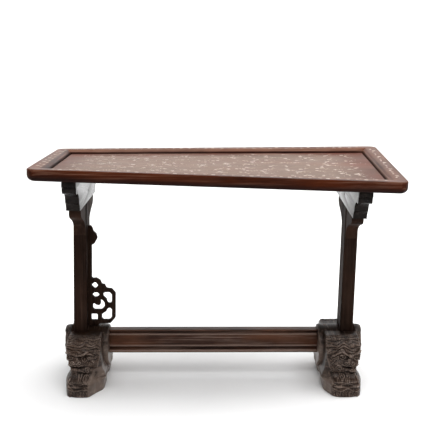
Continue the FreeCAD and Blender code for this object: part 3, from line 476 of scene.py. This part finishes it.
for index, side in enumerate(("left", "right")):
    softened(side + "_post", side + "_post_shaft", post_wood, "z", 3.1 + 2.6 * index)
    softened(side + "_bearer", side + "_bearer_plank", bearer_wood, "y", 1.3 + 1.6 * index)
    bracket(side + "_front_bracket", -1, 7.1 + index)
    bracket(side + "_back_bracket", 1, 7.6 + index)
softened("stretcher", "stretcher_rail", stretcher_wood, "x", 4.4, STRETCHER_EDGE, CUTS,
         rub_and_sheen=banded(BEAD_HIGHLIGHTS), shade_and_grime=banded(GROOVE_SHADE))
softened("left_spandrel", "left_spandrel_cloud", post_wood, "z", 6.2, SPANDREL_EDGE)
softened("panel_batten", "panel_batten_bar", post_wood, "y", 8.3)
softened("bearer_pegs", "bearer_peg_pair", post_wood, "x", 9.1, PEG_EDGE)
softened("foot_pegs", "foot_peg_pair", post_wood, "x", 9.6, PEG_EDGE)
softened("stretcher_pegs", "stretcher_peg_pair", stretcher_wood, "z", 9.9, PEG_EDGE)


# Rail section as inset from the outer edge and height: underside, round edge, lip, scratch bead, ovolo
def rail_section():
    under = RAIL_LOW - EDGE_HANG
    points = [(RAIL_WIDTH, PANEL_LOW), (RAIL_WIDTH, under), (EDGE_ROUND, under)]
    for step in range(1, EDGE_STEPS + 1):
        turn = math.radians(90 * step / EDGE_STEPS)
        points.append((EDGE_ROUND * (1 - math.sin(turn)), under + EDGE_ROUND * (1 - math.cos(turn))))
    for step in range(LIP_STEPS + 1):
        turn = math.radians(90 * step / LIP_STEPS)
        points.append((LIP_ROUND * (1 - math.cos(turn)), TOP - LIP_ROUND * (1 - math.sin(turn))))
    for share, depth in SCRATCH_PROFILE:
        points.append((SCRATCH_INSET + SCRATCH_WIDTH * share, TOP - SCRATCH_DEEP * depth))
    end = math.radians(OVOLO_TURN)
    for step in range(OVOLO_STEPS + 1):
        turn = end * step / OVOLO_STEPS
        inset = RAIL_WIDTH - OVOLO_WIDE * (1 - math.sin(turn) / math.sin(end))
        points.append((inset, TOP - OVOLO_DEEP * (1 - math.cos(turn)) / (1 - math.cos(end))))
    return points


# Painted shade under the rails' round edge and at the foot of the ovolo
def rail_shade(spots):
    height = true_height(spots)
    under_edge = smoothstep(RAIL_LOW + 16 * MM, RAIL_LOW + 1 * MM, height)
    by_panel = smoothstep(PANEL_TOP + 5 * MM, PANEL_TOP + 2.5 * MM, height)
    by_panel *= smoothstep(PANEL_TOP - 2 * MM, PANEL_TOP, height)
    inside = (np.abs(spots[:, 0]) < HALF_W - 20 * MM) * (np.abs(spots[:, 1]) < HALF_D - 20 * MM)
    return np.maximum(under_edge, by_panel * inside)


# A painted reflection lightens the ovolo, and the flat of the two end rails is made paler
def rail_sheen_and_pale_ends(spots):
    inset = np.minimum(HALF_W - np.abs(spots[:, 0]), HALF_D - np.abs(spots[:, 1]))
    on_ovolo = (inset > RAIL_WIDTH - OVOLO_WIDE - 1 * MM) * (inset < RAIL_WIDTH - 2 * MM)
    height = true_height(spots)
    on_end = (HALF_W - np.abs(spots[:, 0]) < RAIL_WIDTH) * (height > TOP - 1 * MM)
    return 0.6 * on_ovolo * (height > PANEL_TOP - 3 * MM) + 0.35 * on_end * (1 - on_ovolo)


# A line along one rail at a given inset, from mitre to mitre round the two half corners
def rail_line(inset, half_run, half_out):
    radius = max(CORNER_ROUND - inset, 0)
    centre = max(CORNER_ROUND, inset)
    straight = half_run - centre
    corner = []
    for step in range(ARC_STEPS + 1):
        turn = math.radians(45 + 45 * step / ARC_STEPS)
        corner.append((straight + radius * math.cos(turn), half_out - centre + radius * math.sin(turn)))
    middle = [(straight * (2 * step / RUN_STEPS - 1), half_out - inset) for step in range(1, RUN_STEPS)]
    return [(-along, out) for along, out in corner] + middle + corner[::-1]


# One mitred rail; place() turns (along, outward) into the table's x and y
def rail(name, half_run, half_out, place, grain, shift):
    bm = bmesh.new()
    rows = []
    for inset, height in rail_section():
        row = []
        for along, out in rail_line(inset, half_run, half_out):
            x, y = place(along, out)
            row.append(bm.verts.new(racked((x, y, height))))
        rows.append(row)
    for one, two in zip(rows, rows[1:] + rows[:1]):
        for index in range(len(one) - 1):
            bm.faces.new((one[index], one[index + 1], two[index + 1], two[index]))
    for index in (0, -1):
        bm.faces.new([row[index] for row in rows])
    bmesh.ops.remove_doubles(bm, verts=bm.verts, dist=0.001 * MM)
    finish_piece(bm, name, name + "_moulding", rim_wood, grain, shift, 0.5,
                 rub_and_sheen=rail_sheen_and_pale_ends, shade_and_grime=rail_shade)


rail("front_rail", HALF_W, HALF_D, lambda along, out: (along, -out), "x", 1.7)
rail("back_rail", HALF_W, HALF_D, lambda along, out: (-along, out), "x", 2.6)
rail("left_rail", HALF_D, HALF_W, lambda along, out: (-out, -along), "y", 3.9)
rail("right_rail", HALF_D, HALF_W, lambda along, out: (out, along), "y", 5.2)


# The sunk panel: a sheet with a slightly uneven face and a small rabbet at the rails
def panel():
    across = PANEL_ACROSS
    deep = PANEL_DEEP
    border = [(i, 0) for i in range(across + 1)] + [(across, j) for j in range(1, deep + 1)]
    border += [(i, deep) for i in range(across - 1, -1, -1)] + [(0, j) for j in range(deep - 1, 0, -1)]
    rabbet_floor = PANEL_TOP - RABBET_DEEP
    levels = ((RABBET_WIDE, PANEL_TOP, True), (RABBET_WIDE, rabbet_floor, False),
              (PANEL_GAP, rabbet_floor, False), (PANEL_GAP, PANEL_LOW, True))
    bm = bmesh.new()

    def point(i, j, inset, level):
        x = (HALF_W - RAIL_WIDTH - inset) * (2 * i / across - 1)
        y = (HALF_D - RAIL_WIDTH - inset) * (2 * j / deep - 1)
        lift = 0.25 * MM * noise.noise(Vector((9 * x, 14 * y, 0)))
        return bm.verts.new(racked((x, y, level + lift)))

    rings = []
    for inset, level, filled in levels:
        if filled:
            rows = [[point(i, j, inset, level) for i in range(across + 1)] for j in range(deep + 1)]
            for one, two in zip(rows, rows[1:]):
                for i in range(across):
                    bm.faces.new((one[i], one[i + 1], two[i + 1], two[i]))
            rings.append([rows[j][i] for i, j in border])
        else:
            rings.append([point(i, j, inset, level) for i, j in border])
    for one, two in zip(rings, rings[1:]):
        for index in range(len(border)):
            bm.faces.new((one[index - 1], one[index], two[index], two[index - 1]))

    # the middle is paler and greyer, the border keeps its red
    def rub_and_sheen(spots):
        edge_x = spots[:, 0] / (HALF_W - RAIL_WIDTH)
        edge_y = spots[:, 1] / (HALF_D - RAIL_WIDTH)
        streaks = [0.22 * noise.noise(Vector((6 * x, 30 * y, 3.3))) for x, y, _ in spots]
        back = edge_y + np.array(streaks)
        return 0.85 * smoothstep(1.0, 0.72, np.abs(edge_x)) * smoothstep(0.92, 0.66, back)

    # painted shade in the rabbet and down the panel's edge
    def shade_and_grime(spots):
        return smoothstep(PANEL_TOP - 0.5 * MM, PANEL_TOP - 1.5 * MM, true_height(spots))

    finish_piece(bm, "top_panel", "panel_sheet", panel_wood, "x", 0.8, 0.0,
                 rub_and_sheen=rub_and_sheen, shade_and_grime=shade_and_grime)


panel()

# Shell chips stand a little proud of the wood and reach a little into it
CHIP_PROUD = 0.18 * MM
CHIP_SUNK = 0.5 * MM

# Outlines: a leaf in shares of its length and half its width, a petal in shares of its length
LEAF = ((0, 0), (0.3, 1), (0.65, 0.8), (1, 0), (0.65, -0.8), (0.3, -1))
PETAL = ((0.15, 0.12), (0.6, 0.42), (0.95, 0.3), (1.02, 0), (0.95, -0.3), (0.6, -0.42), (0.15, -0.12))
PETALS = 5
PETAL_TURN = 360 / PETALS


# The spot that lies so far ahead and aside of another when one looks along the angle
def turned(spot, angle, ahead, aside):
    return (spot[0] + ahead * math.cos(angle) - aside * math.sin(angle),
            spot[1] + ahead * math.sin(angle) + aside * math.cos(angle))


# All the chips that lie in one face, in one mesh
class Inlay:
    def __init__(self, level):
        self.bm = bmesh.new()
        self.tint = self.bm.verts.layers.float.new("tint")
        self.level = level

    def chip(self, points):
        shade = rng.random() * (0.68 + 0.32 * points[0][0] / HALF_W)
        rows = []
        for lift in (CHIP_PROUD, -CHIP_SUNK):
            row = [self.bm.verts.new(racked((x, y, self.level + lift))) for x, y in points]
            for vertex in row:
                vertex[self.tint] = shade
            rows.append(row)
        self.bm.faces.new(rows[0])
        for index in range(len(points)):
            self.bm.faces.new((rows[0][index - 1], rows[1][index - 1], rows[1][index], rows[0][index]))

    # pointed leaf from a stalk's end
    def leaf(self, spot, angle, length, width):
        self.chip([turned(spot, angle, length * share, width / 2 * side) for share, side in LEAF])

    # leaf whose turn from the stalk, length and width lie within the given degrees and mm
    def stalk_leaf(self, spot, angle, side, turns, lengths, widths):
        heading = angle + side * math.radians(rng.uniform(*turns))
        length = rng.uniform(*lengths) * MM
        self.leaf(spot, heading, length, rng.uniform(*widths) * MM)

    def petal(self, spot, angle, length):
        self.chip([turned(spot, angle, length * share, length * side) for share, side in PETAL])

    def blossom(self, spot, radius):
        start = rng.uniform(0, PETAL_TURN)
        for step in range(PETALS):
            self.petal(spot, math.radians(start + PETAL_TURN * step), radius)

    # a run of stalk as one thin strip
    def stalk(self, start, finish, width):
        run = Vector(finish) - Vector(start)
        side = Vector((-run.y, run.x)).normalized() * width / 2
        corners = (Vector(start) + side, Vector(start) - side, Vector(finish) - side, Vector(finish) + side)
        self.chip([tuple(corner) for corner in corners])

    # flowering spray: a bent stalk with leaves to both sides and a blossom at its tip
    def spray(self, spot, angle, joints, step):
        bend = rng.choice((-1, 1)) * math.radians(rng.uniform(9, 20))
        for joint in range(joints):
            ahead = turned(spot, angle, step, 0)
            self.stalk(spot, ahead, 0.8 * MM)
            side = 1 if joint % 2 else -1
            self.stalk_leaf(ahead, angle, side, (35, 65), (5, 8), (1.8, 2.8))
            if joint and rng.random() < 0.5:
                self.stalk_leaf(ahead, angle, -side, (40, 75), (4, 6.5), (1.6, 2.4))
            spot = ahead
            angle += bend * rng.uniform(0.6, 1.3)
        self.blossom(turned(spot, angle, 5 * MM, 0), rng.uniform(3.4, 5) * MM)

    def done(self, name, node):
        finish_piece(self.bm, node, name, shell, "x", 0.0, 0.0, smooth=False)


# Sprays all over the panel, with stray leaves round each
def panel_shell():
    inlay = Inlay(PANEL_TOP)
    columns = 18
    rows = 9
    reach_x = HALF_W - RAIL_WIDTH - 44 * MM
    reach_y = HALF_D - RAIL_WIDTH - 38 * MM
    for i in range(columns):
        for j in range(rows):
            x = reach_x * (2 * i / (columns - 1) - 1) + rng.uniform(-12, 12) * MM
            y = reach_y * (2 * j / (rows - 1) - 1) + rng.uniform(-10, 10) * MM
            inward = math.atan2(-y, -x)
            inlay.spray((x, y), inward + rng.uniform(-1.3, 1.3), rng.choice((2, 3, 4)), 7 * MM)
            for _ in range(2):
                stray = turned((x, y), rng.uniform(0, math.tau), rng.uniform(9, 20) * MM, 0)
                heading = rng.uniform(0, math.tau)
                length = rng.uniform(3, 6) * MM
                inlay.leaf(stray, heading, length, rng.uniform(1.4, 2.4) * MM)
    inlay.done("panel_shell", "panel_inlay")


# Running vine that weaves along the middle of each rail
def rim_shell():
    inlay = Inlay(TOP)
    middle = RAIL_WIDTH / 2
    pitch = 21 * MM
    weave = 3.5 * MM
    for half_run, half_out, upright in ((HALF_W, HALF_D, False), (HALF_D, HALF_W, True)):
        count = int(2 * (half_run - RAIL_WIDTH) / pitch)
        for way in (-1, 1):
            for index in range(count):
                along = (index + 0.5 - count / 2) * pitch
                out = (half_out - middle + (weave if index % 2 else -weave)) * way
                spot = (out, along) if upright else (along, out)
                heading = math.pi / 2 if upright else 0.0
                if index % 4 == 1:
                    inlay.blossom(spot, 5 * MM)
                else:
                    lean = math.radians(32 if index % 2 else -32)
                    inlay.leaf(spot, heading + lean, rng.uniform(8, 11) * MM, rng.uniform(3, 4) * MM)
                    inlay.leaf(spot, heading + lean * 2.4, rng.uniform(5, 7) * MM, 2.6 * MM)
    inlay.done("rim_shell", "rim_inlay")


panel_shell()
rim_shell()

# Carved feet: a dense copy of the CAD foot with the relief raised on its carved sides
VOXEL = 1.5 * MM


def dense_copy(node):
    mesh = nodes[node].data.copy()
    bm = bmesh.new()
    bm.from_mesh(mesh)
    bmesh.ops.remove_doubles(bm, verts=bm.verts, dist=MERGE)
    bm.to_mesh(mesh)
    bm.free()
    rough = bpy.data.objects.new(node + "_rough", mesh)
    bpy.context.scene.collection.objects.link(rough)
    voxels = rough.modifiers.new("voxels", "REMESH")
    voxels.mode = "VOXEL"
    voxels.voxel_size = VOXEL
    voxels.use_smooth_shade = True
    remeshed = rough.evaluated_get(bpy.context.evaluated_depsgraph_get())
    dense = bpy.data.meshes.new_from_object(remeshed)
    bpy.data.objects.remove(rough)
    return dense


# Height of one carved stroke at the points (s, z): a rounded ridge along a run of spots, in mm
def stroke(s, z, spots, width, height):
    least = np.full(s.shape, 1e9)
    for (s0, z0), (s1, z1) in zip(spots, spots[1:]):
        run_s, run_z = s1 - s0, z1 - z0
        share = np.clip(((s - s0) * run_s + (z - z0) * run_z) / (run_s ** 2 + run_z ** 2), 0, 1)
        least = np.minimum(least, np.hypot(s - s0 - share * run_s, z - z0 - share * run_z))
    return height * np.exp(-(least / width) ** 2)


def ring(s, z, spot, radius, width, height):
    return height * np.exp(-((np.hypot(s - spot[0], z - spot[1]) - radius) / width) ** 2)


# Spots of a spiral that closes in on a spot
def curl(spot, radius, turns, start, way):
    spots = []
    count = int(14 * turns)
    for step in range(count + 1):
        share = step / count
        angle = start + way * math.tau * turns * share
        reach = radius * (1 - 0.88 * share)
        spots.append((spot[0] + reach * math.cos(angle), spot[1] + reach * math.sin(angle)))
    return spots


# How far the middle of the beast's face lies to the outer side, and its brow and eye from there, in mm
LOOK_OUT = 15
BROW = ((2, 98), (10, 103), (21, 107), (33, 105), (42, 98))
EYE = (19, 90)


# Broad rounded strands with narrow grooves between them
def strands(place):
    return np.abs(np.cos(math.pi * place)) ** 0.6 - 0.55


def boss(s, z, spot, radius, height):
    return height * np.exp(-((s - spot[0]) ** 2 + (z - spot[1]) ** 2) / radius ** 2)


# Beast mask on the front of a foot; s runs across, z up and back how far behind the toe, all in mm.
# The beast looks to the outer side, and slow waves, set by phase, bend every stroke.
def mask_relief(s, z, back, phase):
    side_on = s + LOOK_OUT + 2.0 * np.sin(z / 9 + phase) + 1.2 * np.sin(z / 4.6 + s / 11)
    up = z + 1.8 * np.sin(s / 9 + 1.7 * phase) + 1.1 * np.sin(s / 4.3 + z / 13 + phase)
    rise = up + 0.55 * np.maximum(back - 40, 0)
    # mane: wavy strands that lie across the head
    wavy = rise / 7.8 + 0.34 * np.sin(s / 10 + rise / 13 + phase) + 0.22 * np.sin(s / 5 - rise / 6)
    height = 4.4 * strands(wavy) * smoothstep(104, 109, up)
    for side in (-1, 1):
        across = side_on * side
        # brow with a groove below it and another above
        for shift, width, rise_by in ((0.0, 3.2, 3.8), (-6.0, 1.8, -3.0), (5.0, 1.4, -1.8)):
            height += stroke(across, up, [(a, b + shift) for a, b in BROW], width, rise_by)
        # eye: lids, the groove round the ball, and the ball, with creases at its outer corner
        height += ring(across, up, EYE, 7.4, 1.5, 2.2)
        height += ring(across, up, EYE, 4.6, 1.2, -1.8)
        height += boss(across, up, EYE, 3.0, 2.0)
        for crease in range(4):
            line = [(29, 96 - 4 * crease), (36, 99 - 6 * crease), (43, 98 - 7 * crease)]
            height += stroke(across, up, line, 1.2, 1.6)
        # full cheek, nose wing and the hook beside the mouth
        height += boss(across, up, (33, 74), 9, 2.6)
        height += stroke(across, up, curl((7, 76), 5.5, 1.2, math.radians(200), 1), 1.5, 2.4)
        height += stroke(across, up, curl((28, 61), 8, 1.5, math.radians(110), -1), 1.6, 2.4)
        # mouth and chin
        height += stroke(across, up, [(0, 64), (9, 62), (17, 65), (25, 70)], 1.9, -3.2)
        height += stroke(across, up, [(0, 68), (9, 67), (17, 70)], 1.6, 1.6)
        height += stroke(across, up, [(0, 57), (10, 56), (19, 53)], 1.8, 2.0)
        height += stroke(across, up, [(0, 51), (12, 50), (24, 47)], 1.8, -2.4)
        # curl on the instep
        height += stroke(across, up, curl((22, 39), 7.5, 1.3, math.radians(60), 1), 1.7, 2.6)
    # full inner cheek, nose and its bridge
    height += boss(s, z, (31, 80), 11, 4.0)
    height += boss(side_on, up, (0, 80), 7, 3.2)
    height += stroke(side_on, up, [(0, 86), (0, 100)], 3.4, 2.0)
    # beard that fans out over the instep
    beard = strands((side_on * (1 + 0.012 * (52 - up))) / 6.4 + 0.25)
    height += 1.6 * beard * smoothstep(50, 46, up) * smoothstep(32, 36, up) * smoothstep(16, 12, np.abs(s))
    # paw: wavy lines over the toes and shallow clefts between them
    wave = z - 28 - 2.4 * np.sin(s / 6.5 + phase)
    height += 2.2 * np.exp(-(wave / 1.9) ** 2) - 0.9 * np.exp(-((wave + 5) / 1.7) ** 2)
    height += 1.2 * np.exp(-((wave + 10 + 1.5 * np.sin(s / 5)) / 1.8) ** 2)
    for cleft in (-22, -7, 8, 23):
        height += stroke(s, z, [(cleft, 2), (cleft + 1.5, 9), (cleft, 14)], 1.7, -1.5)
    # chisel marks
    height += 0.25 * np.sin(1.1 * s + 2 * np.sin(0.5 * z)) * np.sin(0.9 * z + 1.5 * np.sin(0.4 * s + phase))
    return height


# Scroll on the boss of a drum's outer side and flowing lines round it; y and z in mm from its middle
def flank_relief(y, z, radius):
    away = np.hypot(y, z)
    pitch = 10.0
    phase = (away / pitch - np.arctan2(z, y) / math.tau) % 1.0
    scroll = 3.2 * np.exp(-((phase - 0.5) / 0.2) ** 2)
    scroll *= smoothstep(radius - 9, radius - 12, away)
    scroll *= smoothstep(5, 9, away)
    border = 3.2 * np.exp(-((away - radius + 5) / 2.6) ** 2)
    flow = 2.4 * strands(z / 9.0 + 0.25 * np.sin(y / 11)) * smoothstep(radius + 2, radius + 8, away)
    return np.where(away < radius + 1, scroll + border - 4.5, flow)


# Draw each point towards the middle of its neighbours, so that the cut edges look rubbed
def relax(mesh, spots, rounds):
    one, two = ends_of(mesh)
    total = np.bincount(one, minlength=len(spots)) + np.bincount(two, minlength=len(spots))
    for _ in range(rounds):
        middle = np.empty_like(spots)
        for axis in range(3):
            middle[:, axis] = np.bincount(one, spots[two, axis], len(spots))
            middle[:, axis] += np.bincount(two, spots[one, axis], len(spots))
        spots = spots + 0.5 * (middle / total[:, None] - spots)
    return spots


# Boss with the scroll on the outer side of a drum: height of its middle and radius, in mm
BOSS_HIGH = 95
BOSS_ROUND = 38


# One foot; s runs inward across it, and toe is where the carving ends at the toe, in mm from its middle
def carved_foot(side, inward, phase, toe):
    node = side + "_foot"
    low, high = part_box(node)
    centre = (low + high) / 2
    mesh = dense_copy(node)
    spots, normals = points_of(mesh)
    spots = relax(mesh, spots, 6)
    s = (spots[:, 0] - centre.x) * inward / MM
    y = spots[:, 1] / MM
    z = spots[:, 2] / MM
    back = high.y / MM - np.abs(y)
    # on the inner side the plinth flares behind a narrow toe, the chin is drawn in,
    # and the flank runs flush from the plinth up to the drum
    narrow = 14 - 0.4 * toe
    flare = (7 + narrow) * smoothstep(4, 44, back) - narrow
    flare *= smoothstep(58, 30, z) * smoothstep(150, 110, back)
    chin = -10 * smoothstep(72, 54, z) * smoothstep(26, 40, z) * smoothstep(52, 16, back)
    inner = normals[:, 0] * inward
    flank = smoothstep(0.4, 0.8, inner) * smoothstep(22, 32, z) * smoothstep(112, 100, z)
    flank *= smoothstep(24, 52, back)
    aside = (flare + chin) * smoothstep(0, 34, s) + flank * np.clip(48 - z / 15 - s, 0, 12) * (s > 20)
    spots[:, 0] += aside * inward * MM
    # on the outer side the flank lies back round the boss, and a waist parts head and paw
    flat = smoothstep(BOSS_ROUND - 2, BOSS_ROUND + 4, np.hypot(y, z - BOSS_HIGH)) * smoothstep(30, 38, z)
    waist = smoothstep(36, 44, z) * smoothstep(68, 56, z)
    pull = 10 * flat * smoothstep(-40, -48, s) + 5 * waist * smoothstep(-24, -36, s)
    spots[:, 0] += pull * inward * MM
    # seen from above, head and toe are round, and the toe's inner corner is cut back
    cut = 9 * np.minimum(np.abs(s) / 40, 1.1) ** 3
    cut += 9 * smoothstep(toe, toe + 20, s) * smoothstep(60, 40, z)
    spots[:, 1] -= cut * smoothstep(95, 45, back) * np.sign(y) * MM
    # seen from the side, the heads round off from the drum
    spots[:, 2] -= 12 * smoothstep(84, 24, back) * smoothstep(70, 118, z) * MM
    facing = normals[:, 1] * np.sign(y)
    # carved face: what looks outward at either end, or up in front of the post
    on_face = smoothstep(0.2, 0.55, np.maximum(facing, 0.8 * normals[:, 2])) * smoothstep(100, 84, back)
    # its inner border slants from the cheek down to the toe; beyond it the wood is smooth, and a painted
    # reflection of the floor makes it paler
    border = toe + (41 - toe) * smoothstep(36, 78, z)
    on_face *= smoothstep(-46, -41, s) * smoothstep(border + 4, border - 2, s)
    flank_sheen = 0.62 * smoothstep(border - 2, border + 5, s) * smoothstep(104, 92, z)
    relief = mask_relief(s, z, back, phase + 0.9 * (y > 0)) * on_face
    outward = -normals[:, 0] * inward
    on_flank = smoothstep(0.45, 0.8, outward) * smoothstep(32, 38, z) * smoothstep(-20, -30, s)
    relief += flank_relief(y, z - BOSS_HIGH, BOSS_ROUND) * on_flank * smoothstep(126, 118, z)
    # the paw swells to the outer side
    relief += 4.0 * smoothstep(0.3, 0.7, outward) * smoothstep(38, 26, z) * smoothstep(110, 70, back)
    spots = spots + normals * (relief * MM)[:, None]
    spots[:, 2] = np.maximum(spots[:, 2], 0)
    mesh.vertices.foreach_set("co", spots.ravel())
    mesh.update()
    # the top of the drum by the post is darkened
    drum_top_dark = 0.6 * smoothstep(117, 125, z) * smoothstep(62, 84, back)
    # ridges are paled by use and painted highlight, creases darkened with painted shade
    finish_piece(mesh, node, side + "_foot_carving", foot_wood, "y", 2.2, 3.8, 5.0,
                 rub_and_sheen=lambda places: flank_sheen, shade_and_grime=lambda places: drum_top_dark)


carved_foot("left", 1, 0.4, 17)
carved_foot("right", -1, 2.3, 31)

# Studio: pale floor that sweeps up into a wall behind, and broad soft lights, in metres
FLOOR_HALF = 6.0
SWEEP_START = 1.6
SWEEP_ROUND = 1.2
SWEEP_STEPS = 8
WALL_TOP = 5.0
bm = bmesh.new()
rows = []
sweep = [(-FLOOR_HALF, 0.0), (SWEEP_START, 0.0)]
for step in range(1, SWEEP_STEPS + 1):
    turn = math.radians(90 * step / SWEEP_STEPS)
    sweep.append((SWEEP_START + SWEEP_ROUND * math.sin(turn), SWEEP_ROUND * (1 - math.cos(turn))))
sweep.append((SWEEP_START + SWEEP_ROUND, WALL_TOP))
for y, z in sweep:
    rows.append([bm.verts.new((x, y, z)) for x in (-FLOOR_HALF, FLOOR_HALF)])
for one, two in zip(rows, rows[1:]):
    bm.faces.new((one[0], one[1], two[1], two[0]))
floor_mesh = bpy.data.meshes.new("floor")
bm.to_mesh(floor_mesh)
bm.free()
floor = bpy.data.objects.new("floor", floor_mesh)
bpy.context.scene.collection.objects.link(floor)


def floor_fill(tree, shader):
    where = add(tree, "ShaderNodeTexCoord")
    mottle = cloud(tree, where.outputs["Object"], 3.0, 2.0, 0.5)
    paint = ramp(tree, mottle, ((0.3, grey(0.88)), (0.7, grey(0.90))))
    tree.links.new(paint, shader.inputs["Base Color"])
    shader.inputs["Roughness"].default_value = 0.9
    shader.inputs["Specular IOR Level"].default_value = 0.2


floor_mesh.materials.append(material("floor_paint", floor_fill))
for polygon in floor_mesh.polygons:
    polygon.use_smooth = True

# Sky: dark behind the camera, bright above and behind the table
world = bpy.data.worlds.new("studio")
bpy.context.scene.world = world
world.use_nodes = True
sky = world.node_tree
where = add(sky, "ShaderNodeTexCoord")
parts = add(sky, "ShaderNodeSeparateXYZ")
sky.links.new(where.outputs["Generated"], parts.inputs["Vector"])
height_share = maths(sky, "MULTIPLY", parts.outputs["Z"], 0.9)
bright_share = spread(sky, maths(sky, "ADD", parts.outputs["Y"], height_share), 0.0, 1.0)
glow = ramp(sky, bright_share, ((0.0, grey(0.3)), (0.45, grey(0.9)), (1.0, WHITE)))
background = sky.nodes["Background"]
sky.links.new(glow, background.inputs["Color"])
background.inputs["Strength"].default_value = 0.75
bpy.context.scene.view_settings.view_transform = "Standard"


def lamp(name, place, target, width, height, power):
    data = bpy.data.lights.new(name, "AREA")
    data.shape = "RECTANGLE"
    data.size = width
    data.size_y = height
    data.energy = power
    item = bpy.data.objects.new(name, data)
    bpy.context.scene.collection.objects.link(item)
    item.location = place
    item.rotation_euler = (Vector(target) - Vector(place)).to_track_quat("-Z", "Y").to_euler()


lamp("overhead", (0.5, -0.5, 2.9), (0.2, -0.4, 0), 4.4, 3.4, 160)
lamp("backdrop_wash", (0.0, 0.9, 2.4), (0, 2.8, 1.0), 4.0, 0.8, 30)
lamp("front_fill", (0.9, -3.0, 2.4), (0, 0, 0.3), 1.6, 1.2, 10)

# Camera at the photograph's viewing angle: place, pitch, yaw, and lens in widths of the picture
VIEWPOINT = Vector((-6.2, -2395.7, 889.7)) * MM
PITCH = math.radians(11.31)
YAW = math.radians(0.306)
FOCAL = 1000 / 432
ahead = Vector((math.sin(YAW) * math.cos(PITCH), math.cos(YAW) * math.cos(PITCH), -math.sin(PITCH)))
right = Vector((math.cos(YAW), -math.sin(YAW), 0))
up = right.cross(ahead)
view = bpy.data.cameras.new("camera")
view.sensor_width = 36
view.lens = FOCAL * view.sensor_width
camera = bpy.data.objects.new("camera", view)
turn = Matrix((right, up, -ahead)).transposed()
camera.matrix_world = Matrix.Translation(VIEWPOINT) @ turn.to_4x4()
bpy.context.scene.collection.objects.link(camera)
bpy.context.scene.camera = camera
